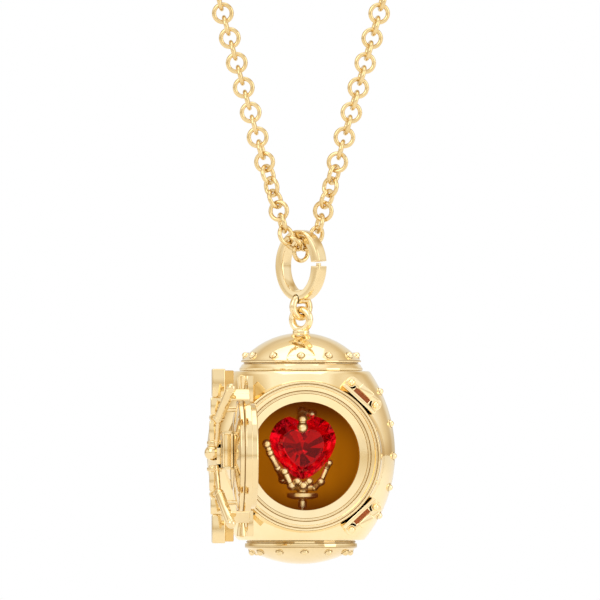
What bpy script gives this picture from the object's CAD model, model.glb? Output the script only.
# Looks of the egg locket. Shapes are written in millimetres and stored in metres.
import math

import bmesh
import bpy
from mathutils import Matrix, Vector


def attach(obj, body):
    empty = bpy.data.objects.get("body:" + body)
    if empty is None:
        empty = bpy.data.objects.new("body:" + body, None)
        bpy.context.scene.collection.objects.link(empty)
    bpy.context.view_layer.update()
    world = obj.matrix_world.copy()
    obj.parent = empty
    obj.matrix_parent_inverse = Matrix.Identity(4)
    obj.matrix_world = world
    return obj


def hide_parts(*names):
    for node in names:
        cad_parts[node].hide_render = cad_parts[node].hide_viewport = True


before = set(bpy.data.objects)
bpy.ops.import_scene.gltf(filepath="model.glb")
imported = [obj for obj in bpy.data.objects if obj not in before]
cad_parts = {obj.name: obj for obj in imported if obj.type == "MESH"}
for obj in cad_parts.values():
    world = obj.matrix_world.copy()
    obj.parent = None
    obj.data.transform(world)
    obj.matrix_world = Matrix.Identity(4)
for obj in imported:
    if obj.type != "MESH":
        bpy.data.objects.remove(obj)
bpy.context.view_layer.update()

# Sizes shared with the solids
# Chain loop: radius at the nape, slope of the strands, radius of the turn through the bail
NAPE_R, STRAND_DEG, TURN_R = 40.0, 15.7, 1.85
# Links: width, wire, pitch, and how many on each side of the lowest one
LINK_D, LINK_WIRE, LINK_PITCH, LINKS_ASIDE = 2.75, 0.54, 1.61, 30
# The chain crosses the bail from front left to back right, and its links turn with it
CROSS_Y, CROSS_LEN, LINK_TWIST, TWIST_LINKS, LEVEL_PULL = 1.5, 3.6, 6.0, 8.0, 0.25
# Bail: width, height, band, depth, turn about the upright
BAIL_W, BAIL_H, BAIL_BAND, BAIL_DEPTH, BAIL_TURN = 7.35, 8.9, 1.3, 1.75, 45.0
# Jump ring and ring of the dome: radii, radius of the wire, turn; and the eye of the bail
JUMP_R, EGG_RING_R, RING_WIRE, RING_TURN, EYE_R = 1.275, 1.25, 0.45, 35.0, 0.9
# Heights above the middle of the egg
CHAIN_UP, BAIL_MID, JUMP_MID, EGG_RING_MID = 25.5, 23.8, 18.62, 17.05
# Barrel: widest radius and its height, arcs above and below it, ends, wall
EQ_R, EQ_Z, UP_R, LOW_R = 11.75, 0.3, 18.2, 17.0
BARREL_TOP, BARREL_BOTTOM, WALL = 10.6, 10.5, 0.9
# Spheres of the domes and of the door: radius, and height of the crown
TOP_R, TOP_Z, BOTTOM_R, BOTTOM_Z, DISC_R, DISC_UP = 9.66, 15.4, 12.8, -13.5, 23.6, 1.0
# Hinge axis, outer face of the door, slope of its arms, angle at which it stands open
HINGE_X, HINGE_OUT, DOOR_OUT, ARM_DEG, OPEN_DEG = -8.0, 9.5, 10.5, 47.0, 90.0
# The hub and the knob sit a little above the middle of the door
HUB_UP, KNOB_UP = 0.7, 0.4
# Depth of the hollow below the middle, its lining and the gap between pieces
CAVITY_BOTTOM, LINING, GAP = 8.4, 0.32, 0.04
# How far in front of the egg's axis the hand and the stone stand, and how far up the stone is
HAND_OUT, STONE_OUT, STONE_UP = 2.9, 3.5, 1.0
RIVET_R, RIVET_SUNK = 0.54, 0.02

STRAND = math.radians(STRAND_DEG)
DROP_C = (NAPE_R - TURN_R) / math.sin(STRAND)
LOW_Z = -(NAPE_R + DROP_C + TURN_R)
TURN_LEN = TURN_R * math.radians(90 - STRAND_DEG)
STRAND_LEN = DROP_C * math.cos(STRAND)
HALF_LEN = TURN_LEN + STRAND_LEN + NAPE_R * math.radians(90 + STRAND_DEG)
EGG_Z = LOW_Z - CHAIN_UP


def shift(x, y, z):
    return Matrix.Translation((x, y, z))


def spin(degrees, axis):
    return Matrix.Rotation(math.radians(degrees), 4, axis)


def polar(r, degrees):
    return r * math.cos(math.radians(degrees)), r * math.sin(math.radians(degrees))


# Places: what is drawn up Z comes out at the front with FORWARD, and to the right with SIDEWAYS
FORWARD, SIDEWAYS = spin(90, "X"), spin(90, "Y")
HALVES = (("upper", Matrix.Identity(4)), ("lower", Matrix.Scale(-1, 4, (0, 0, 1))))
EGG = shift(0, 0, EGG_Z)
OPENED = EGG @ shift(HINGE_X, -HINGE_OUT, 0) @ spin(-OPEN_DEG, "Z") @ shift(-HINGE_X, HINGE_OUT, 0)
CHARM = EGG @ spin(-BAIL_TURN, "Z")
JUMP = EGG @ shift(0, 0, JUMP_MID) @ spin(RING_TURN, "Z") @ FORWARD
EGG_RING = EGG @ shift(0, 0, EGG_RING_MID) @ spin(-RING_TURN, "Z") @ FORWARD


# Shader nodes
def new_material(name):
    m = bpy.data.materials.new(name)
    m.use_nodes = True
    tree = m.node_tree
    return m, tree, tree.nodes["Principled BSDF"]


def feed(tree, node, inputs):
    """Sets inputs of a node: a socket is linked, and a number or colour is stored on the input."""
    for name, value in inputs.items():
        if isinstance(value, bpy.types.NodeSocket):
            tree.links.new(value, node.inputs[name])
        else:
            node.inputs[name].default_value = value
    return node


def noise(tree, where, scale, detail=3.0, roughness=0.5, stretch=(1, 1, 1)):
    mapping = feed(tree, tree.nodes.new("ShaderNodeMapping"), {"Vector": where, "Scale": stretch})
    made = feed(tree, tree.nodes.new("ShaderNodeTexNoise"), {
        "Vector": mapping.outputs["Vector"], "Scale": scale, "Detail": detail, "Roughness": roughness})
    return made.outputs["Fac"]


def map_range(tree, value, from_low, from_high, low=0.0, high=1.0, smooth=False):
    made = tree.nodes.new("ShaderNodeMapRange")
    if smooth:
        made.interpolation_type = "SMOOTHSTEP"
    feed(tree, made, {"Value": value, "From Min": from_low, "From Max": from_high,
                      "To Min": low, "To Max": high})
    return made.outputs["Result"]


def span(tree, value, low=0.0, high=1.0):
    """Spreads the usual reach of a noise over low to high."""
    return map_range(tree, value, 0.3, 0.7, low, high)


def blend_colour(tree, factor, a, b):
    """Mix of two colours, each given as a socket or as three numbers."""
    made = tree.nodes.new("ShaderNodeMix")
    made.data_type = "RGBA"
    a, b = [c if isinstance(c, bpy.types.NodeSocket) else (*c, 1) for c in (a, b)]
    return feed(tree, made, {"Factor": factor, "A": a, "B": b}).outputs["Result"]


def colour_ramp(tree, value, stops):
    """Colours by a value from 0 to 1, as (place, colour) pairs of which the outer two are the ends."""
    made = tree.nodes.new("ShaderNodeValToRGB")
    elements = made.color_ramp.elements
    elements[0].color, elements[1].color = (*stops[0][1], 1), (*stops[-1][1], 1)
    for place, colour in stops[1:-1]:
        elements.new(place).color = (*colour, 1)
    return feed(tree, made, {"Fac": value}).outputs["Color"]


def vector_math(tree, operation, first, second=None):
    made = tree.nodes.new("ShaderNodeVectorMath")
    made.operation = operation
    feed(tree, made, {0: first} if second is None else {0: first, 1: second})
    return made.outputs["Value" if operation == "LENGTH" else "Vector"]


def bump(tree, height, strength, distance, under=None):
    inputs = {"Height": height, "Strength": strength, "Distance": distance}
    if under is not None:
        inputs["Normal"] = under
    return feed(tree, tree.nodes.new("ShaderNodeBump"), inputs).outputs["Normal"]


# Materials, with texture scales in cells per metre
DRIFT, WAVE, GRAIN, HAIR = 260.0, 420.0, 2600.0, 9000.0
SILK, ENAMEL_GRAIN, ENAMEL_WAVE, FLOOR_TONE = 900.0, 1500.0, 700.0, 30.0


def gold(name, light, deep, roughness, wave, scratch):
    """Polished metal: a slow wave in the polish, hair scratches and a slight drift of colour."""
    m, tree, shader = new_material(name)
    where = tree.nodes.new("ShaderNodeTexCoord").outputs["Object"]
    slow = bump(tree, noise(tree, where, WAVE, 1.0), wave, 0.0001)
    fine = bump(tree, noise(tree, where, HAIR, 2.0, 0.5, (1, 1, 0.12)), scratch, 0.00001, slow)
    feed(tree, shader, {
        "Metallic": 1.0,
        "Base Color": blend_colour(tree, span(tree, noise(tree, where, DRIFT, 2.0)), light, deep),
        "Roughness": span(tree, noise(tree, where, GRAIN, 5.0, 0.6), *roughness),
        "Normal": fine})
    return m


GOLD = gold("polished_gold", (0.96, 0.81, 0.52), (0.93, 0.76, 0.45), (0.04, 0.09), 0.08, 0.04)
CHAIN_GOLD = gold("chain_gold", (0.82, 0.65, 0.36), (0.74, 0.56, 0.28), (0.03, 0.08), 0.05, 0.03)
FITTING_GOLD = gold("fitting_gold", (0.87, 0.71, 0.43), (0.81, 0.64, 0.36), (0.04, 0.09), 0.08, 0.04)
DEEP_GOLD = gold("deep_gold", (0.80, 0.55, 0.22), (0.72, 0.46, 0.16), (0.14, 0.22), 0.10, 0.06)
LINE_GOLD = gold("groove_gold", (0.42, 0.26, 0.09), (0.30, 0.17, 0.05), (0.3, 0.45), 0.10, 0.06)
HAND_GOLD = gold("hand_gold", (0.98, 0.81, 0.49), (0.94, 0.74, 0.40), (0.30, 0.42), 0.12, 0.05)


def amber_lining(name, light, middle, rim_colour):
    """The amber of the hollow: smooth enamel, golden in the middle and red-brown at its rim and top."""
    m, tree, shader = new_material(name)
    coordinates = tree.nodes.new("ShaderNodeTexCoord")
    where = coordinates.outputs["Object"]
    # Distance from the middle of the hollow as it is seen through the mouth
    centred = vector_math(tree, "SUBTRACT", coordinates.outputs["Generated"], (0.5, 0.5, 0.47))
    flat = vector_math(tree, "MULTIPLY", centred, (0.8, 0.0, 1.0))
    rim = map_range(tree, vector_math(tree, "LENGTH", flat), 0.20, 0.44, smooth=True)
    streak = span(tree, noise(tree, where, DRIFT, 2.0, 0.5, (1, 1, 0.15)))
    colour = blend_colour(tree, rim, blend_colour(tree, streak, light, middle), rim_colour)
    feed(tree, shader, {
        "Base Color": colour,
        "Emission Color": colour,
        "Emission Strength": 0.62,
        "Roughness": span(tree, noise(tree, where, ENAMEL_GRAIN), 0.38, 0.5),
        "Coat Weight": 0.15,
        "Coat Roughness": 0.25,
        "Normal": bump(tree, noise(tree, where, ENAMEL_WAVE, 2.0), 0.12, 0.0001)})
    return m


AMBER = amber_lining("amber_enamel", (0.44, 0.155, 0.002), (0.34, 0.112, 0.001), (0.10, 0.020, 0.0005))
SLOT_AMBER = amber_lining("slot_enamel", (0.34, 0.07, 0.001), (0.20, 0.04, 0.001), (0.05, 0.008, 0.0005))
# Glow of a facet of the stone, by the chance number of its direction
GLINTS = ((0.0, (0.004, 0.0, 0.001)), (0.5, (0.01, 0.0, 0.001)), (0.64, (0.10, 0.0, 0.003)),
          (0.86, (0.60, 0.003, 0.010)), (1.0, (0.90, 0.10, 0.12)))


def ruby_stone(name, glint):
    """Cut stone: clear red with a strong bend of light, each facet with a brightness of its own."""
    m, tree, shader = new_material(name)
    where = tree.nodes.new("ShaderNodeTexCoord").outputs["Object"]
    silk = span(tree, noise(tree, where, SILK))
    facet = tree.nodes.new("ShaderNodeTexWhiteNoise")
    feed(tree, facet, {"Vector": tree.nodes.new("ShaderNodeNewGeometry").outputs["True Normal"]})
    feed(tree, shader, {
        "Base Color": blend_colour(tree, silk, (0.40, 0.002, 0.010), (0.28, 0.001, 0.006)),
        "Emission Color": colour_ramp(tree, facet.outputs["Value"], GLINTS),
        "Emission Strength": glint,
        "Roughness": 0.0,
        "IOR": 1.77,
        "Specular IOR Level": 0.3,
        "Specular Tint": (1.0, 0.25, 0.3, 1),
        "Transmission Weight": 0.92})
    return m


RUBY = ruby_stone("ruby_facets", 0.1)
RUBY_TABLE = ruby_stone("ruby_table", 0.0)
RUBY_DEPTH = ruby_stone("ruby_depth", 1.15)

# Mesh making
MM = 0.001
ON_AXIS = 1e-6
EDGE_SHARE = 0.45  # The most of an edge that rounding takes from one end
ROUND_STEPS, LEAST_BEND, LEAST_REACH = 3, 0.12, 1e-4
BEVEL_OVER = 0.4  # Edges that bend more than this, in radians, are eased
LINE_SIDES = 8


class Piece:
    """A named mesh put together from closed parts, in millimetres."""

    def __init__(self, name, body, replaced, material, slot="yellow_gold", others=()):
        self.name, self.body, self.replaced, self.slot = name, body, replaced, slot
        self.materials = [material, *others]
        self.bm = bmesh.new()

    def add(self, bm, place, index=0, smooth=True):
        bmesh.ops.transform(bm, matrix=place, verts=bm.verts)
        if place.determinant() < 0:
            bmesh.ops.reverse_faces(bm, faces=bm.faces)
        for f in bm.faces:
            f.material_index, f.smooth = index, smooth
        m = bpy.data.meshes.new("part")
        bm.to_mesh(m)
        bm.free()
        self.bm.from_mesh(m)
        bpy.data.meshes.remove(m)

    def lathe(self, profile, place, turns, rounding=0.0):
        """Turns (radius, height) points about Z. The outline is closed, or starts and ends on the axis."""
        outline = fillet(profile, rounding) if rounding else [Vector(p) for p in profile]
        self.add(turned(outline, turns), place)

    def box(self, low, high, bevel, place, index=0, steps=2):
        bm = bmesh.new()
        bmesh.ops.create_cube(bm, size=1)
        size = [h - l for l, h in zip(low, high)]
        bmesh.ops.scale(bm, vec=size, verts=bm.verts)
        bmesh.ops.translate(bm, vec=[(h + l) / 2 for l, h in zip(low, high)], verts=bm.verts)
        bevel_all(bm, min(bevel, min(size) * EDGE_SHARE), steps)
        self.add(bm, place, index)

    def prism(self, outline, h0, h1, bevel, place):
        """A flat outline in XY, drawn up from h0 to h1 with its edges eased."""
        bm = bmesh.new()
        low, top = [[bm.verts.new((x, y, h)) for x, y in outline] for h in (h0, h1)]
        bm.faces.new(list(reversed(low)))
        bm.faces.new(top)
        join_rings(bm, low, top)
        bmesh.ops.recalc_face_normals(bm, faces=bm.faces)
        bevel_all(bm, bevel, 2)
        self.add(bm, place)

    def ball(self, centre, r, place):
        bm = bmesh.new()
        bmesh.ops.create_uvsphere(bm, u_segments=24, v_segments=18, radius=r)
        bmesh.ops.translate(bm, vec=centre, verts=bm.verts)
        self.add(bm, place)

    def torus(self, ring_r, wire_r, place, around, sides):
        self.add(torus_mesh(ring_r, wire_r, around, sides), place)

    def line(self, ring_r, height, wire_r, place, around=160):
        """A fine ring in the second material, as the dark line of a groove or a joint."""
        self.add(torus_mesh(ring_r, wire_r, around, LINE_SIDES), place @ shift(0, 0, height), 1)

    def capsule(self, a, b, r, place, sides):
        self.add(capsule_mesh(Vector(a), Vector(b), r, sides), place)

    def rivet(self, at, normal):
        """A small domed head on its own washer, with a dark line between them."""
        r = RIVET_R
        turn = Vector(normal).normalized().to_track_quat("Z", "Y").to_matrix().to_4x4()
        here = EGG @ shift(*at) @ turn
        dome = [(0.0, r * 0.98)] + [(r * 0.82 * math.sin(a), r * 0.98 * math.cos(a))
                                    for a in [math.radians(d) for d in range(12, 90, 13)]]
        washer = [(0, -0.1), (r * 1.1, -0.1), (r * 1.1, 0.02), (r * 1.04, 0.07), (r * 0.86, 0.07)]
        self.lathe(washer + list(reversed(dome)), here, 28)
        self.line(r * 0.87, 0.07, 0.06, here, 28)

    def cut(self, cutter, place, self_meeting=False):
        """Takes a closed cutter, given as a bmesh, out of what is there so far."""
        bmesh.ops.transform(cutter, matrix=place, verts=cutter.verts)
        a = new_object("cut_from", self.bm)
        b = new_object("cutter", cutter)
        mod = a.modifiers.new("cut", "BOOLEAN")
        mod.operation, mod.solver, mod.object = "DIFFERENCE", "EXACT", b
        mod.use_self = self_meeting
        bpy.context.view_layer.update()
        out = bpy.data.meshes.new_from_object(a.evaluated_get(bpy.context.evaluated_depsgraph_get()))
        self.bm.clear()
        self.bm.from_mesh(out)
        for o in (a, b):
            data = o.data
            bpy.data.objects.remove(o)
            bpy.data.meshes.remove(data)
        bpy.data.meshes.remove(out)
        cutter.free()

    def done(self, sharp=32.0):
        """Makes the object. Edges over the sharp angle, in degrees, are kept crisp."""
        m = bpy.data.meshes.new(self.name)
        bmesh.ops.scale(self.bm, vec=(MM,) * 3, verts=self.bm.verts)
        self.bm.to_mesh(m)
        self.bm.free()
        for mat in self.materials:
            m.materials.append(mat)
        if sharp is not None:
            m.set_sharp_from_angle(angle=math.radians(sharp))
        o = bpy.data.objects.new(self.name, m)
        bpy.context.scene.collection.objects.link(o)
        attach(o, self.body)
        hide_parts(*self.replaced)


def new_object(name, bm):
    m = bpy.data.meshes.new(name)
    bm.to_mesh(m)
    o = bpy.data.objects.new(name, m)
    bpy.context.scene.collection.objects.link(o)
    return o


def bevel_all(bm, width, steps):
    edges = [e for e in bm.edges if len(e.link_faces) == 2 and e.calc_face_angle(0) > BEVEL_OVER]
    bevel_edges(bm, edges, width, steps)


def bevel_edges(bm, edges, width, steps):
    bmesh.ops.bevel(bm, geom=edges, offset=width, segments=steps, profile=0.5, affect="EDGES",
                    clamp_overlap=True)


def join_rings(bm, a, b):
    """Side faces between two rings of as many points."""
    n = len(a)
    for k in range(n):
        j = (k + 1) % n
        bm.faces.new((a[k], a[j], b[j], b[k]))


def is_closed(points):
    return not (points[0].x < ON_AXIS and points[-1].x < ON_AXIS)


def fillet(profile, r):
    """Rounds the corners of an outline of (radius, height) points. A third number is a corner's own r."""
    n = len(profile)
    pts = [Vector(p[:2]) for p in profile]
    closed = is_closed(pts)
    out = []
    for i, p in enumerate(pts):
        if not closed and i in (0, n - 1):
            out.append(p)
            continue
        u, v = pts[i - 1] - p, pts[(i + 1) % n] - p
        if u.length < 1e-7 or v.length < 1e-7:
            out.append(p)
            continue
        bend = math.pi - u.angle(v)
        own = profile[i][2] if len(profile[i]) > 2 else r
        reach = min(own * math.tan(bend / 2), u.length * EDGE_SHARE, v.length * EDGE_SHARE)
        if bend < LEAST_BEND or reach < LEAST_REACH:
            out.append(p)
            continue
        q0, q1 = p + u.normalized() * reach, p + v.normalized() * reach
        for k in range(ROUND_STEPS + 1):
            t = k / ROUND_STEPS
            out.append(q0 * (1 - t) ** 2 + p * 2 * t * (1 - t) + q1 * t * t)
    return out


def turned(outline, turns):
    bm = bmesh.new()
    ways = [(math.cos(2 * math.pi * i / turns), math.sin(2 * math.pi * i / turns)) for i in range(turns)]
    rows = []
    for p in outline:
        if p.x < ON_AXIS:
            rows.append([bm.verts.new((0, 0, p.y))])
        else:
            rows.append([bm.verts.new((p.x * c, p.x * s, p.y)) for c, s in ways])
    count = len(rows)
    for k in range(count if is_closed(outline) else count - 1):
        a, b = rows[k], rows[(k + 1) % count]
        for i in range(turns):
            j = (i + 1) % turns
            face = []
            for v in (a[i % len(a)], a[j % len(a)], b[j % len(b)], b[i % len(b)]):
                if v not in face:
                    face.append(v)
            if len(face) > 2:
                bm.faces.new(face)
    bmesh.ops.recalc_face_normals(bm, faces=bm.faces)
    return bm


def torus_mesh(ring_r, wire_r, around, sides):
    bm = bmesh.new()
    rows = []
    for i in range(around):
        a = 2 * math.pi * i / around
        row = []
        for k in range(sides):
            b = 2 * math.pi * k / sides
            out = ring_r + wire_r * math.cos(b)
            row.append(bm.verts.new((out * math.cos(a), out * math.sin(a), wire_r * math.sin(b))))
        rows.append(row)
    for i in range(around):
        a, b = rows[i], rows[(i + 1) % around]
        for k in range(sides):
            j = (k + 1) % sides
            bm.faces.new((a[k], b[k], b[j], a[j]))
    return bm


def capsule_mesh(a, b, r, sides):
    """A round bar from a to b with a domed end at each."""
    bm = bmesh.new()
    way = (b - a).normalized()
    normal = way.orthogonal().normalized()
    side = way.cross(normal)
    rise = [(r * math.sin(d), r * math.cos(d)) for d in (math.radians(x) for x in (25, 50, 75))]
    stations = [(a - way * far, near) for far, near in reversed(rise)] + [(a, r), (b, r)]
    stations += [(b + way * far, near) for far, near in rise]
    turns = [2 * math.pi * k / sides for k in range(sides)]
    rings = [[bm.verts.new(p + (normal * math.cos(t) + side * math.sin(t)) * width) for t in turns]
             for p, width in stations]
    for low, high in zip(rings, rings[1:]):
        join_rings(bm, low, high)
    bm.faces.new(list(reversed(rings[0])))
    bm.faces.new(rings[-1])
    bmesh.ops.recalc_face_normals(bm, faces=bm.faces)
    return bm


def sag(r, at):
    """Height of a sphere above its middle, at a distance from its axis."""
    return math.sqrt(r * r - at * at)


# Chain
PAIRS, SPARE_PAIRS = LINKS_ASIDE // 2, 5
LINK_R = (LINK_D - LINK_WIRE) / 2
# Middles of the last links, along the loop from the middle of the clasp
CLASP_RIGHT, CLASP_LEFT = 3.58, 2.48


def half_point(s):
    """Point at a length along the right half of the loop: turn, strand, nape."""
    if s < TURN_LEN:
        return TURN_R * math.sin(s / TURN_R), LOW_Z + TURN_R * (1 - math.cos(s / TURN_R))
    if s < TURN_LEN + STRAND_LEN:
        t = s - TURN_LEN
        return (TURN_R * math.cos(STRAND) + t * math.sin(STRAND),
                LOW_Z + TURN_R * (1 - math.sin(STRAND)) + t * math.cos(STRAND))
    a = math.radians(90 - STRAND_DEG) + (s - TURN_LEN - STRAND_LEN) / NAPE_R
    return NAPE_R * math.sin(a), -NAPE_R - NAPE_R * math.cos(a)


def loop_point(s):
    x, z = half_point(abs(s))
    side = -1 if s < 0 else 1
    t = abs(s) / CROSS_LEN
    return Vector((side * x, side * CROSS_Y * t * math.exp((1 - t * t) / 2), z))


def step_on(s, chord):
    """The length along the loop at which the next link is a chord away."""
    low, high = 0.8, 4.2
    for _ in range(24):
        mid = (low + high) / 2
        if (loop_point(s + mid) - loop_point(s)).length < chord:
            low = mid
        else:
            high = mid
    return s + low


def pair_normal(at, k):
    before = (at(k) - at(k - 1)).normalized()
    after = (at(k + 1) - at(k)).normalized()
    way = (before + after).normalized()
    level = Vector((0, 0, 1)).cross(way)
    level = level.normalized() if level.length > ON_AXIS else Vector((0, 1, 0))
    bend = level * LEVEL_PULL - before.cross(after)
    face = (bend - way * way.dot(bend)).normalized()
    turn = math.radians(LINK_TWIST) * (1 - math.exp(-(2 * k / TWIST_LINKS) ** 2))
    return face * math.cos(turn) + way.cross(face) * math.sin(turn)


def link_place(place, way, normal):
    side = normal.cross(way)
    return Matrix(((way.x, side.x, normal.x, place.x), (way.y, side.y, normal.y, place.y),
                   (way.z, side.z, normal.z, place.z), (0, 0, 0, 1)))


def build_chain():
    steps = [0.0]
    for _ in range(PAIRS + SPARE_PAIRS):
        steps.append(step_on(steps[-1], 2 * LINK_PITCH))

    def at(k):
        return loop_point(-steps[-k] if k < 0 else steps[k])

    front = Piece("chain_front", "necklace", ["chain_links"], CHAIN_GOLD)
    for k in range(-PAIRS, PAIRS + 1):
        way = (at(k + 1) - at(k - 1)).normalized()
        front.torus(LINK_R, LINK_WIRE / 2, link_place(at(k), way, pair_normal(at, k)), 40, 14)
    for k in range(-PAIRS, PAIRS):
        way = (at(k + 1) - at(k)).normalized()
        normal = way.cross(pair_normal(at, k) + pair_normal(at, k + 1)).normalized()
        front.torus(LINK_R, LINK_WIRE / 2, link_place((at(k) + at(k + 1)) / 2, way, normal), 40, 14)
    front.done(None)

    rest = Piece("chain_rest", "necklace", ["chain_back"], CHAIN_GOLD)
    start = steps[PAIRS]
    for side, reach in ((1, CLASP_RIGHT), (-1, CLASP_LEFT)):
        # The last links meet the clasp's rings, so the pitch is eased to fit a whole number of them
        end = HALF_LEN - reach
        count = int(round((end - start) / LINK_PITCH))
        pitch = (end - start) / count
        for i in range(1, count + 1):
            s = side * (start + i * pitch)
            way = (loop_point(s + 0.8 * side) - loop_point(s - 0.8 * side)).normalized() * side
            level = Vector((0, 1, 0)).cross(way).normalized()
            turn = math.radians(LINK_TWIST if i % 2 == 0 else LINK_TWIST + 90)
            normal = (way.cross(level) * math.cos(turn) + level * math.sin(turn)).normalized()
            rest.torus(LINK_R, LINK_WIRE / 2, link_place(loop_point(s), way, normal), 24, 8)
    rest.done(None)


def build_clasp():
    ring_r, ring_wire, ring = 2.1, 0.42, FORWARD @ shift(-0.6, 0, 0)
    p = Piece("ring_clasp", "necklace", ["clasp"], CHAIN_GOLD)
    p.torus(ring_r, ring_wire, ring, 64, 18)
    p.torus(1.05, 0.3, FORWARD @ shift(2.7, 0, 0), 40, 14)
    # Neck between the ring and the loop
    p.lathe([(0, 0), (0.48, 0), (0.5, 0.12), (0.5, 0.42), (0.44, 0.54), (0, 0.54)],
            FORWARD @ shift(1.28, 0, 0) @ SIDEWAYS, 32, rounding=0.04)
    # Collars where the ring opens
    for a in (40, 118):
        p.torus(ring_wire + 0.005, 0.05, ring @ spin(a, "Z") @ shift(ring_r, 0, 0) @ FORWARD, 32, 8)
    p.done(40)


# Bail and rings
def oval(a, half_w, half_h):
    return Vector((half_w * math.cos(a), half_h * math.sin(a)))


def build_bail():
    p = Piece("charm_bail", "necklace", ["bail"], FITTING_GOLD)
    # The band runs from one side of the gap, at the right, round to the other
    first, last, count = math.radians(7), math.radians(359), 120
    half = BAIL_DEPTH / 2
    bm = bmesh.new()
    rings = []
    for i in range(count + 1):
        a = first + (last - first) * i / count
        outer = oval(a, BAIL_W / 2, BAIL_H / 2)
        inner = oval(a, BAIL_W / 2 - BAIL_BAND, BAIL_H / 2 - BAIL_BAND + 0.13)
        across, deep = (outer - inner).normalized(), (outer - inner).length
        # Section as (way out from the inner wall, along the axis): flat inside, chamfered outside
        section = [(0, half - 0.1), (0.03, half - 0.03), (0.1, half), (deep - 0.27, half),
                   (deep - 0.2, half - 0.015), (deep - 0.17, half - 0.04), (deep - 0.04, half - 0.17),
                   (deep - 0.015, half - 0.2), (deep, half - 0.27)]
        section += [(x, -y) for x, y in reversed(section)]
        spots = [(inner + across * x, y) for x, y in section]
        rings.append([bm.verts.new((q.x, y, q.y)) for q, y in spots])
    for a, b in zip(rings, rings[1:]):
        join_rings(bm, a, b)
    ends = [bm.faces.new(rings[0]), bm.faces.new(rings[-1])]
    bmesh.ops.recalc_face_normals(bm, faces=bm.faces)
    bevel_edges(bm, list({e for f in ends for e in f.edges}), 0.07, 2)
    here = CHARM @ shift(0, 0, BAIL_MID)
    p.add(bm, here)
    # Peg that shows in the gap
    p.lathe([(0, 0), (0.3, 0, 0.02), (0.3, 0.65, 0.02), (0, 0.65)],
            here @ shift(BAIL_W / 2 - BAIL_BAND / 2 - 0.1, 0, -0.35), 28, rounding=0.03)
    # Eye below, bored for the jump ring
    length = BAIL_DEPTH - 0.3
    p.lathe([(0, 0), (EYE_R, 0), (EYE_R, length), (0, length)],
            here @ shift(0, BAIL_DEPTH / 2 - 0.15, JUMP_MID + JUMP_R - BAIL_MID) @ FORWARD, 48, rounding=0.1)
    p.cut(torus_mesh(JUMP_R, RING_WIRE + 0.1, 96, 24), JUMP, True)
    p.done(30)

    j = Piece("jump_wire", "necklace", ["jump_ring"], FITTING_GOLD)
    j.torus(JUMP_R, RING_WIRE, JUMP, 96, 28)
    j.done(None)


# Egg
def barrel_arc(z):
    return UP_R if z > EQ_Z else LOW_R


def barrel_r(z):
    return EQ_R - barrel_arc(z) + sag(barrel_arc(z), z - EQ_Z)


def build_shell():
    p = Piece("egg_shell", "egg", ["shell"], GOLD, others=(LINE_GOLD,))
    # Outer skin with eased ends, then its hollow and the bore of the mouth
    low, top, eased = -BARREL_BOTTOM, BARREL_TOP, 0.12
    levels = [low + eased + (top - low - 2 * eased) * i / 60 for i in range(61)]
    outer = [(0, low), (barrel_r(low) - eased, low), (barrel_r(low) - 0.02, low + 0.05)]
    outer += [(barrel_r(z), z) for z in levels]
    outer += [(barrel_r(top) - 0.02, top - 0.05), (barrel_r(top) - eased, top), (0, top)]
    p.lathe(outer, EGG, 160)
    hollow, bore_r = 9.2, 9.1
    core = [(barrel_r(z) - WALL, z) for z in [hollow * (i / 15 - 1) for i in range(31)]]
    p.cut(turned([Vector(q) for q in [(0, -hollow), *core, (0, hollow)]], 128), EGG)
    bore = [(0, 4.0), (bore_r, 4.0), (bore_r, 14.0), (0, 14.0)]
    p.cut(turned([Vector(q) for q in bore], 128), EGG @ FORWARD)
    for f in p.bm.faces:
        f.smooth = True
    # The stepped ring of the mouth, turned about its own axis
    p.lathe([(6.75, 7.1, 0.02), (6.75, 8.95, 0.07), (7.75, 8.95, 0.03), (7.75, 9.75, 0.06),
             (8.05, 9.75, 0.02), (8.09, 9.69, 0.02), (8.15, 9.69, 0.02), (8.19, 9.75, 0.02),
             (8.62, 9.75, 0.03), (8.7, 9.99, 0.05), (8.92, 9.99, 0.03), (8.96, 9.93, 0.02),
             (9.02, 9.93, 0.02), (9.06, 9.99, 0.03), (9.26, 9.99, 0.10), (9.32, 9.85, 0.1),
             (10.28, 5.05, 0.05), (9.3, 5.05, 0.05), (8.6, 7.1, 0.05)], EGG @ FORWARD, 192, rounding=0.04)
    # Dark lines left in its grooves and at its steps
    for r, out, wire in ((6.78, 8.9, 0.04), (7.78, 9.72, 0.045), (8.12, 9.71, 0.055), (8.66, 9.77, 0.04),
                         (8.99, 9.95, 0.05), (9.3, 9.9, 0.035)):
        p.line(r, out, wire, EGG @ FORWARD, 192)
    # Two rows of rivets down the sides
    for degrees in (-16, -164):
        for z in (8, 4, 0, -3.9, -7.4):
            slope = (z - EQ_Z) / barrel_arc(z)
            normal = Vector((*polar(math.sqrt(1 - slope ** 2), degrees), slope))
            p.rivet((*polar(barrel_r(z) - RIVET_SUNK, degrees), z), normal)
    p.done(30)


def build_lining():
    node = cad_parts["inner_cup"]
    node.data.materials.clear()
    node.data.materials.append(AMBER)


def rivet_ring(p, ring_r, sphere_z, height, turn):
    """Twelve rivets round a dome, square to its sphere and let a little into it."""
    for i in range(12):
        at = Vector((*polar(ring_r, i * 30 + turn - 90), height))
        normal = at - Vector((0, 0, sphere_z))
        p.rivet(at - normal.normalized() * RIVET_SUNK, normal)


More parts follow.
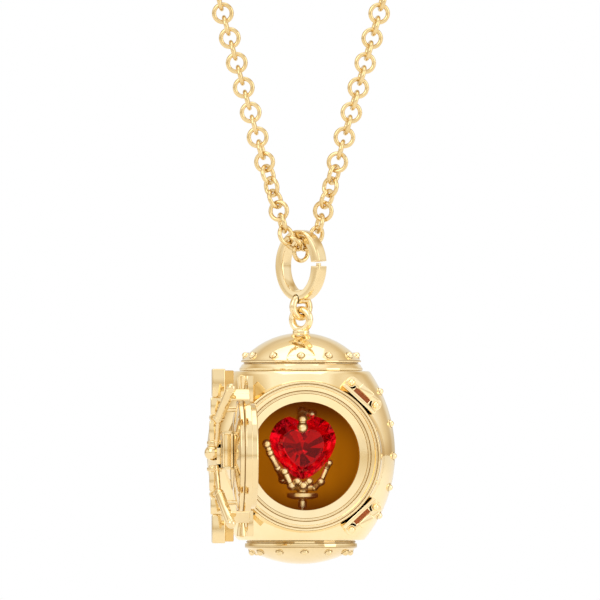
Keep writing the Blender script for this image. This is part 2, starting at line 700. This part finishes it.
def build_top_dome():
    p = Piece("dome_top", "egg", ["top_dome"], GOLD, others=(LINE_GOLD,))
    mid, rivets = TOP_Z - TOP_R, 6.9
    cap = [(r, mid + sag(TOP_R, r), 0) for r in (7.38, 7.1, 6.6, 6.0, 5.3, 4.5, 3.6, 2.7, 1.8, 0.9)]
    p.lathe([(0, 10.64), (7.68, 10.64, 0.05), (7.7, 10.93, 0.08), (7.36, 11.46, 0.08), (7.1, 11.5, 0.04),
             (7.1, 11.72, 0.03), (7.5, 11.72, 0.06), (7.5, 11.88, 0.05), *cap, (0, TOP_Z)],
            EGG, 160, rounding=0.04)
    # Seat of the ring
    p.lathe([(0, 15.1), (1.05, 15.1), (1.05, 15.62), (0.92, 15.8), (0, 15.8)], EGG, 48, rounding=0.1)
    rivet_ring(p, rivets, mid, mid + sag(TOP_R, rivets), -3.6)
    p.torus(EGG_RING_R, RING_WIRE, EGG_RING, 96, 28)
    for r, z in ((7.16, 11.62), (7.44, 11.9)):
        p.line(r, z, 0.05, EGG)
    p.done()


def build_bottom_dome():
    p = Piece("dome_bottom", "egg", ["bottom_dome"], FITTING_GOLD, others=(LINE_GOLD,))
    mid, rivets = BOTTOM_R + BOTTOM_Z, 6.1
    cap = [(r, mid - sag(BOTTOM_R, r), 0) for r in (0.9, 1.8, 2.7, 3.6, 4.5, 5.3, 6.0, 6.6)]
    p.lathe([(0, BOTTOM_Z), *cap, (6.95, -11.42, 0.06), (7.0, -11.3, 0.04), (7.0, -10.92, 0.06),
             (6.75, -10.86, 0.04), (6.75, -10.54, 0.03), (0, -10.54)], EGG, 160, rounding=0.04)
    rivet_ring(p, rivets, mid, mid - sag(BOTTOM_R, rivets), 0.5)
    for r, z, wire in ((6.96, -11.36, 0.05), (6.8, -10.72, 0.06)):
        p.line(r, z, wire, EGG)
    # Plain block at the front, between the barrel and the dome
    p.box((-1.25, -7.13, -10.88), (1.25, -6.6, -10.6), 0.05, EGG)
    p.done()


# Catches and hinges
def build_keepers():
    for tag, half in HALVES:
        base = EGG @ half @ spin(-ARM_DEG, "Y")
        p = Piece("catch_" + tag, "egg", ["keeper_" + tag], GOLD, others=(DEEP_GOLD, SLOT_AMBER))
        # Body that fills down to the barrel, notched for the slot
        p.box((10.55, -9.3, -2.0), (11.42, -5.6, 2.0), 0.12, base)
        for side in (-1, 1):
            p.box((9.78, -9.28, side * 1.6 - 0.45), (11.2, -6.2, side * 1.6 + 0.45), 0.1, base)
            p.lathe([(0, 5.2), (0.8, 5.2), (0.8, 9.28), (0, 9.28)],
                    base @ shift(10.6, 0, side * 1.95) @ FORWARD, 40, rounding=0.08)
            # Bolt: a washer and a domed head
            p.lathe([(0, 9.2), (0.56, 9.2), (0.56, 9.36), (0, 9.36)],
                    base @ shift(10.6, 0, side * 2.05) @ FORWARD, 32, rounding=0.04)
            p.ball((10.6, -9.34, side * 2.05), 0.45, base)
        # Rail on the side of the mouth, eased at both ends
        p.box((9.5, -10, -2.65), (10.0, -6.9, 2.65), 0.1, base)
        p.box((9.9, -8.95, -2.0), (10.7, -7.0, 2.0), 0.02, base)
        # Housing on the outer side of the slot
        p.box((10.6, -10, -1.0), (11.48, -8.5, 1.0), 0.14, base, steps=3)
        # Amber floor in the slot
        p.box((9.95, -9.0, -1.15), (10.65, -8.5, 1.15), 0.02, base, index=2)
        p.done(35)


def build_lugs():
    x, y = HINGE_X, -HINGE_OUT
    for tag, half in HALVES:
        base = EGG @ half
        p = Piece("lug_" + tag, "egg", ["hinge_lug_" + tag], FITTING_GOLD)
        p.box((-7.35, -9.9, 6.75), (-6.55, -7.2, 10.0), 0.1, base)
        p.lathe([(0.27, 8.34), (0.42, 8.34), (0.44, 8.5), (0.59, 9.72), (0.61, 9.95), (0.56, 10), (0.27, 10)],
                base @ shift(x, y, 0), 40, rounding=0.04)
        p.box((x + 0.3, y - 0.33, 8.85), (x + 1.2, y + 0.43, 9.97), 0.06, base)
        p.done(35)
        q = Piece("pin_" + tag, "egg", ["hinge_pin_" + tag], DEEP_GOLD)
        q.lathe([(0, 7), (0.25, 7), (0.25, 10.1), (0, 10.1)], base @ shift(x, y, 0), 32, rounding=0.08)
        q.done(35)


# Stand, hand and stone
def build_pedestal():
    p = Piece("hand_stand", "egg", ["pedestal"], HAND_GOLD)
    here = EGG @ shift(0, -HAND_OUT, 0)
    floor = -(CAVITY_BOTTOM - GAP - LINING) + GAP
    p.lathe([(0, floor), (1.7, floor), (1.7, floor + 0.25), (1.45, floor + 0.5), (0.5, floor + 0.5),
             (0.32, floor + 0.75), (0.32, -6.5), (0.55, -6.5), (0.55, -5.6), (0.4, -5.55), (0.4, -5.4),
             (1.2, -5.4), (1.92, -5.16), (1.95, -5.1), (1.95, -4.68), (1.85, -4.6), (0, -4.6)],
            here, 64, rounding=0.06)
    # Hexagon nut on the stem
    p.prism([polar(0.56, 60 * i) for i in range(6)], -6.45, -5.72, 0.05, here)
    p.done()


# Balls of the hand as middle and radius, and the bars between them
HAND_BALLS = [
    (0, -2.9, -3.9, 0.68), (-0.9, -1.4, -3.4, 0.85),
    (-2.4, -2, -2.9, 0.6), (-3.15, -3.9, -1.5, 0.5), (-4.2, -4.9, 0.4, 0.5), (-4.6, -5, 1.5, 0.58),
    (-1.4, 0.9, -0.6, 0.65), (-0.3, 1.1, 3.2, 0.6), (0, -1.6, 5.6, 0.6), (-0.1, -4.4, 5.35, 0.6),
    (-0.14, -5.4, 4.6, 0.6), (-0.14, -5.5, 3.55, 0.7),
    (1.25, -2.3, 5.25, 0.6),
    (1.5, -2.5, -3.9, 0.5), (2.3, -3.3, -3.2, 0.52), (3.05, -3.3, -1.4, 0.4), (3.35, -3.9, -0.85, 0.4),
    (-1.45, -4.2, -3.7, 0.6), (-2.35, -4.4, -1.95, 0.55),
    (0, -4.65, -3.72, 0.6), (-0.75, -4.75, -3.15, 0.5), (0.75, -4.75, -3.15, 0.5)]
HAND_BARS = [(0, 1), (1, 2), (2, 3), (3, 4), (4, 5), (1, 6), (6, 7), (7, 8), (8, 9), (9, 10), (10, 11),
             (8, 12), (0, 13), (13, 14), (14, 15), (15, 16), (0, 17), (17, 18), (0, 19), (19, 20), (19, 21)]
BAR_SHARE = 0.82  # Radius of a bar beside that of its smaller ball


def build_hand():
    p = Piece("cupped_hand", "egg", ["hand_setting"], HAND_GOLD, others=(LINE_GOLD,))
    p.lathe([(0, -4.55), (0.7, -4.55), (0.7, -4.2), (0.5, -4.1), (0, -4.1)],
            EGG @ shift(0, -HAND_OUT, 0), 40, rounding=0.05)
    for first, second in HAND_BARS:
        a, b = HAND_BALLS[first], HAND_BALLS[second]
        r = min(a[3], b[3]) * BAR_SHARE
        p.capsule(a[:3], b[:3], r, EGG, 24)
        # Fine joint lines where the bar leaves each ball
        way = Vector(b[:3]) - Vector(a[:3])
        turn = way.to_track_quat("Z", "Y").to_matrix().to_4x4()
        for end, sign in ((a, 1), (b, -1)):
            reach = math.sqrt(max(end[3] ** 2 - r * r, 0.01)) + 0.02
            spot = Vector(end[:3]) + way.normalized() * reach * sign
            p.line(r + 0.004, 0, 0.035, EGG @ shift(*spot) @ turn, 28)
    for b in HAND_BALLS:
        p.ball(b[:3], b[3], EGG)
    p.done(40)


# Right half of the heart's outline from the notch to the tip, in shares of half its width and height
HEART_HALF = [(0, 0.757), (0.167, 0.895), (0.371, 1), (0.598, 0.938), (0.801, 0.769), (0.945, 0.542),
              (1, 0.328), (0.986, 0.113), (0.921, -0.088), (0.825, -0.277), (0.682, -0.492),
              (0.502, -0.701), (0.275, -0.883), (0, -0.996)]
HEART_W, HEART_H, GIRDLE = 8.36, 7.93, 40


def heart_point(share, scale):
    """A point of the outline: share 0 is the notch, 0.5 the tip, measured along the edge."""
    side = 1 if share <= 0.5 else -1
    pts = [Vector((x * HEART_W / 2, y * HEART_H / 2)) for x, y in HEART_HALF]
    whole = sum((b - a).length for a, b in zip(pts, pts[1:]))
    left = (share if share <= 0.5 else 1 - share) * 2 * whole
    for a, b in zip(pts, pts[1:]):
        step = (b - a).length
        if left <= step or b == pts[-1]:
            q = a + (b - a) * min(left / step, 1.0)
            return side * q.x * scale, q.y * scale
        left -= step


def build_ruby():
    """Brilliant heart: table, star and kite facets, two rows at the girdle and a fan of pavilion facets."""
    p = Piece("heart_stone", "egg", ["heart_ruby"], RUBY, "ruby", others=(RUBY_TABLE, RUBY_DEPTH))
    bm = bmesh.new()
    n, half, quarter = GIRDLE, GIRDLE // 2, GIRDLE // 4

    def ring(count, start, out, scale, round_off=0.0):
        """Points round the heart, the rounder the more the outline gives way to an oval."""
        vs = []
        for i in range(count):
            share = (i + start) / count
            x, z = heart_point(share, scale)
            a = 2 * math.pi * share
            x = x * (1 - round_off) + 4.1 * scale * math.sin(a) * round_off
            z = z * (1 - round_off) + (3.5 * scale * math.cos(a) - 0.1) * round_off
            vs.append(bm.verts.new((x, -out, z)))
        return vs

    girdle_low = ring(n, 0, -0.12, 0.995)
    girdle_top = ring(n, 0, 0.12, 0.995)
    kite = ring(half, 0.5, 0.84, 0.84, 0.06)
    table = ring(half, 0, 1.38, 0.63, 0.14)
    under = ring(half, 0.5, -1.45, 0.58, 0.1)
    deep = ring(quarter, 0.5, -2.3, 0.22, 0.4)
    culet = bm.verts.new((0, 2.76, -0.2))

    for i in range(n):
        j = (i + 1) % n
        bm.faces.new((girdle_low[i], girdle_low[j], girdle_top[j], girdle_top[i]))
    for i in range(half):
        j = (i + 1) % half
        a, b, c = girdle_top[2 * i], girdle_top[2 * i + 1], girdle_top[(2 * i + 2) % n]
        d, e, f = girdle_low[2 * i], girdle_low[2 * i + 1], girdle_low[(2 * i + 2) % n]
        for face in ((a, b, kite[i]), (b, c, kite[i]), (c, kite[j], kite[i]),
                     (kite[i], kite[j], table[j]), (kite[i], table[j], table[i]),
                     (d, under[i], e), (e, under[i], f), (f, under[i], under[j])):
            bm.faces.new(face)
    for i in range(quarter):
        j = (i + 1) % quarter
        a, b, c = under[2 * i], under[2 * i + 1], under[(2 * i + 2) % half]
        for face in ((a, deep[i], b), (b, deep[i], deep[j]), (b, deep[j], c), (deep[i], culet, deep[j])):
            bm.faces.new(face)
    bm.faces.new(table)
    bmesh.ops.recalc_face_normals(bm, faces=bm.faces)
    p.add(bm, EGG @ shift(0, -STONE_OUT, STONE_UP), smooth=False)
    # The large table is clear, and the facets behind the girdle shine through it
    for f in p.bm.faces:
        if f.calc_center_median().y > 0.3 - STONE_OUT:
            f.material_index = 2
    max(p.bm.faces, key=lambda f: f.calc_area()).material_index = 1
    p.done(None)


# Door, whose depths are measured outwards from the egg's axis
def build_door_plate():
    p = Piece("door_disc", "door", ["door_plate"], FITTING_GOLD, others=(LINE_GOLD,))
    o, sphere = DOOR_OUT, DOOR_OUT + DISC_UP - DISC_R
    dome = [(r, sphere + sag(DISC_R, r), 0) for r in (6.7, 6.0, 5.4, 4.8, 4.2)]
    p.lathe([(0, o - 2.25), (5.4, o - 2.25, 0.03), (5.45, o - 2.2, 0.02), (5.6, o - 2.2, 0.02),
             (5.65, o - 2.25, 0.03), (6.5, o - 2.25, 0.08), (6.6, o - 2.1, 0.08), (6.6, o - 1.5, 0.05),
             (7.3, o - 1.5, 0.1), (7.32, o - 1.35, 0.05), (7.32, o - 0.78, 0.1), (7.2, o - 0.63, 0.04),
             (7.02, o - 0.62, 0.03), (7.02, o - 0.52, 0.03), (7.2, o - 0.5, 0.04), (7.22, o - 0.1, 0.1),
             (7.1, o, 0.06), (6.88, o, 0.02), (6.85, o - 0.08, 0.02), (6.76, o - 0.08, 0.02), *dome,
             (4.1, o + 0.62, 0.02), (0, o + 0.62)], OPENED @ FORWARD, 160, rounding=0.05)
    # Dark lines between the bands
    for r, out, wire in ((7.05, -0.57, 0.06), (6.81, -0.02, 0.055), (6.64, -1.47, 0.07), (4.12, 0.63, 0.03)):
        p.line(r, o + out, wire, OPENED @ FORWARD)
    p.done()


def build_hub():
    p = Piece("hub_housing", "door", ["door_hub"], FITTING_GOLD, others=(DEEP_GOLD,))
    half_w, top, low = 2.6, DOOR_OUT + 1.96, DOOR_OUT + 0.66
    here = OPENED @ shift(0, 0, HUB_UP)
    # Core set back at both ends, with a bright frame round each window
    p.box((0.35 - half_w, 0.02 - top, -2.2), (half_w - 0.35, -low, 2.2), 0.05, here)
    for side in (-1, 1):
        x0, x1 = sorted((side * half_w, side * (half_w - 0.75)))
        p.box((x0, -top, 1.98), (x1, -low, 2.4), 0.09, here)
        p.box((x0, -top, -2.4), (x1, -low, -1.98), 0.09, here)
        p.box((x0, -top, -2.3), (x1, -top + 0.25, 2.3), 0.07, here)
        p.box((x0, -low - 0.25, -2.3), (x1, -low, 2.3), 0.07, here)
        # Panel in the window
        x0, x1 = sorted((side * (half_w - 0.3), side * (half_w - 0.8)))
        p.box((x0, -low - 0.7, -1.9), (x1, -low - 0.3, 1.9), 0.05, here, index=1)
    p.done(35)


def build_knob():
    p = Piece("knob_ball", "door", ["door_knob"], FITTING_GOLD)
    round_side = [(*polar(1, a), 0) for a in range(-80, 73, 8)]
    p.lathe([(0, -1), *round_side, (0.27, 0.965, 0.02), (0.2, 0.985, 0.02), (0, 0.985)],
            OPENED @ shift(0, -DOOR_OUT - 3.08, KNOB_UP) @ FORWARD, 72, rounding=0.02)
    p.done()


def build_strongback():
    p = Piece("strongback_bar", "door", ["strongback"], FITTING_GOLD, others=(DEEP_GOLD,))
    y = -DOOR_OUT
    for _, half in HALVES:
        base = OPENED @ half
        # Cup beside the knob and its collar
        p.lathe([(0, 1.15), (0.56, 1.15), (0.62, 1.22), (0.62, 1.38), (0.8, 1.42), (0.82, 1.5), (0.82, 1.8),
                 (0.74, 1.88), (0, 1.88)], base @ shift(0, y - 2.95, 0), 40, rounding=0.05)
        p.box((-0.5, y - 3.45, 1.85), (0.5, y - 2.35, 4.35), 0.09, base)
        p.box((-0.36, y - 3.48, 2.2), (0.36, y - 3.4, 4.0), 0.03, base)
        # Eyelet joint
        p.lathe([(0.2, 0), (0.52, 0), (0.52, 1.24), (0.2, 1.24)],
                base @ shift(-0.62, y - 2.95, 4.75) @ SIDEWAYS, 40, rounding=0.06)
        p.box((-0.4, y - 3.18, 4.2), (0.4, y - 2.4, 5.3), 0.08, base)
        # Knuckle block with its two leaves
        for a, b in ((-0.65, -0.26), (-0.2, 0.2), (0.26, 0.65)):
            p.box((a, y - 3.3, 5.15), (b, y - 2.0, 7.25), 0.1, base)
        p.box((-0.5, y - 3.1, 5.3), (0.5, y - 2.2, 7.6), 0.06, base)
        # End block and the foot behind it
        p.box((-1.1, y - 3.15, 7.3), (1.1, y - 1.55, 10.8), 0.16, base, steps=3)
        p.box((-0.8, y - 1.6, 7.5), (0.8, y - 0.5, 10.6), 0.12, base, index=1)
    # Frame on the hub that carries both halves
    p.box((-0.9, y - 2.6, -1.98), (0.9, y - 2.02, -0.95), 0.06, OPENED)
    p.box((-0.9, y - 2.6, 0.95), (0.9, y - 2.02, 1.98), 0.06, OPENED)
    for x0, x1 in ((-0.9, -0.62), (0.62, 0.9)):
        p.box((x0, y - 2.6, -1.5), (x1, y - 2.02, 1.5), 0.05, OPENED)
    p.done(35)


def arm(p, base, length):
    """Slim rod from the hub and the stout sloping bar at its end."""
    y, tilt = -DOOR_OUT, 13.8
    p.capsule((1.9, y - 2.62, 0), (6.6, y - 2.5, 0), 0.27, base, 20)
    p.torus(0.3, 0.07, base @ shift(2.5, y - 2.6, 0) @ SIDEWAYS, 24, 10)
    bar = base @ shift(6.3, y - 2.5, 0) @ spin(tilt, "Z")
    p.capsule((0, 0, 0), (length, 0, 0), 0.6, bar, 36)
    for x in (0.35, length - 0.2):
        p.torus(0.585, 0.06, bar @ shift(x, 0, 0) @ SIDEWAYS, 36, 10)


def build_arms():
    o = DOOR_OUT
    out = spin(-ARM_DEG, "Y")
    for tag, half in HALVES:
        base = OPENED @ half @ out
        p = Piece("latch_rod_" + tag, "door", ["latch_arm_" + tag], FITTING_GOLD, others=(DEEP_GOLD,))
        arm(p, base, 5.3)
        # Post down to the door, and the tongue that enters the catch
        p.lathe([(0, o + 0.42), (0.33, o + 0.42), (0.33, o + 1.9), (0, o + 1.9)],
                base @ shift(7.9, 0, 0) @ FORWARD, 28, rounding=0.06)
        p.box((10.15, -o - 1.3, -0.93), (10.45, -o + 1.1, 0.93), 0.08, base)
        p.done(35)

        foot = OPENED @ half
        q = Piece("hinge_rod_" + tag, "door", ["hinge_arm_" + tag], FITTING_GOLD, others=(DEEP_GOLD,))
        arm(q, foot @ Matrix.Scale(-1, 4, (1, 0, 0)) @ out, 4.7)
        # Strap to the hinge and the knuckle round its pin
        q.box((HINGE_X - 0.28, -HINGE_OUT - 1.9, 7.2), (HINGE_X + 0.28, -HINGE_OUT - 0.33, 7.7), 0.08, foot)
        q.lathe([(0.31, 6.9), (0.57, 6.9), (0.61, 6.96), (0.6, 7.1), (0.43, 8.2), (0.42, 8.3), (0.31, 8.3)],
                foot @ shift(HINGE_X, -HINGE_OUT, 0), 40, rounding=0.05)
        q.done(35)


# Studio, in metres
MIDDLE = EGG_Z * MM
FLOOR_DOWN, FLOOR_HALF = 0.06, 4
CAMERA_AWAY, FIELD, CAMERA_TURN, CAMERA_UP = 2.0, 0.075, -3.6, -0.56
AIM = Vector((-0.000125, 0, MIDDLE + 0.0195))
WORLD_LIGHT = 1.18


def build_world(scene):
    """Walls bright all round, a little dimmer behind the object, with dim bands and dim upright strips."""
    world = bpy.data.worlds.new("studio")
    scene.world = world
    world.use_nodes = True
    tree = world.node_tree
    tree.nodes.clear()
    out = tree.nodes.new("ShaderNodeOutputWorld")
    where = tree.nodes.new("ShaderNodeTexCoord").outputs["Generated"]
    split = feed(tree, tree.nodes.new("ShaderNodeSeparateXYZ"), {"Vector": where})

    def brightness(axis, first, last, between):
        """Brightness along one axis of the room, from -1 to 1, as (place, brightness) pairs."""
        # What is dim is warm too, as light off the gold itself is
        stops = [((at + 1) / 2, (v, v ** 1.45, v ** 2.3)) for at, v in between]
        value = map_range(tree, split.outputs[axis], -1, 1)
        return colour_ramp(tree, value, [(0, (first,) * 3), *stops, (1, (last,) * 3)])

    tall = brightness("Z", 0.62, 1.0, ((-0.5, 0.72), (-0.3, 0.6), (-0.18, 1.0), (-0.09, 1.0), (0.0, 0.76),
                                       (0.1, 1.0), (0.48, 1.0), (0.6, 0.85), (0.74, 1.0)))
    wide = brightness("X", 0.95, 0.9, ((-0.88, 0.95), (-0.78, 0.72), (-0.7, 0.72), (-0.56, 0.95),
                                       (0.48, 0.95), (0.6, 0.78), (0.66, 0.78), (0.8, 0.95)))
    deep = brightness("Y", 0.95, 0.75, ((-0.5, 1.0), (0.2, 1.0), (0.6, 0.76)))
    walls = vector_math(tree, "MULTIPLY", vector_math(tree, "MULTIPLY", tall, wide), deep)
    light = feed(tree, tree.nodes.new("ShaderNodeBackground"), {"Color": walls, "Strength": WORLD_LIGHT})
    seen = feed(tree, tree.nodes.new("ShaderNodeBackground"), {"Color": (1, 1, 1, 1), "Strength": 1.0})
    mix = feed(tree, tree.nodes.new("ShaderNodeMixShader"), {
        "Fac": tree.nodes.new("ShaderNodeLightPath").outputs["Is Camera Ray"],
        1: light.outputs["Background"], 2: seen.outputs["Background"]})
    feed(tree, out, {"Surface": mix.outputs["Shader"]})


def place_facing(o, at, target):
    o.location = Vector(at)
    o.rotation_euler = (Vector(target) - Vector(at)).to_track_quat("-Z", "Y").to_euler()
    bpy.context.scene.collection.objects.link(o)


def softbox(name, at, size, power):
    lamp = bpy.data.lights.new(name, "AREA")
    lamp.shape = "RECTANGLE"
    lamp.size, lamp.size_y = size
    lamp.energy = power
    place_facing(bpy.data.objects.new(name, lamp), at, (0, 0, MIDDLE))


def build_floor():
    material, tree, shader = new_material("studio_floor")
    where = tree.nodes.new("ShaderNodeTexCoord").outputs["Object"]
    tone = span(tree, noise(tree, where, FLOOR_TONE, 2.0))
    feed(tree, shader, {
        "Base Color": blend_colour(tree, tone, (0.96, 0.96, 0.955), (0.94, 0.94, 0.935)),
        "Roughness": 0.9,
        "Specular IOR Level": 0.1})
    bm = bmesh.new()
    bmesh.ops.create_grid(bm, x_segments=1, y_segments=1, size=FLOOR_HALF)
    floor = new_object("studio_floor", bm)
    bm.free()
    floor.data.materials.append(material)
    floor.location = (0, 0, MIDDLE - FLOOR_DOWN)


def build_camera(scene):
    cam = bpy.data.cameras.new("photo_camera")
    cam.sensor_width = 36
    cam.sensor_fit = "HORIZONTAL"
    cam.angle = 2 * math.atan(FIELD / 2 / CAMERA_AWAY)
    cam.clip_start, cam.clip_end = 0.01, 20
    az, el = math.radians(CAMERA_TURN), math.radians(CAMERA_UP)
    away = Vector((math.sin(az) * math.cos(el), -math.cos(az) * math.cos(el), math.sin(el)))
    o = bpy.data.objects.new("photo_camera", cam)
    place_facing(o, AIM + away * CAMERA_AWAY, AIM)
    scene.camera = o


def build_studio():
    scene = bpy.context.scene
    scene.view_settings.view_transform = "Standard"
    scene.view_settings.look = "None"
    scene.view_settings.exposure = 0.0
    build_world(scene)
    softbox("key_box", (-0.45, -0.55, MIDDLE + 0.45), (0.5, 0.5), 1.1)
    softbox("fill_box", (0.6, -0.35, MIDDLE + 0.15), (0.35, 0.7), 0.9)
    softbox("top_box", (0.0, 0.05, MIDDLE + 0.75), (0.6, 0.6), 0.9)
    build_floor()
    build_camera(scene)


for build in (build_chain, build_clasp, build_bail, build_shell, build_lining, build_top_dome,
              build_bottom_dome, build_keepers, build_lugs, build_pedestal, build_hand, build_ruby,
              build_door_plate, build_hub, build_knob, build_strongback, build_arms, build_studio):
    build()
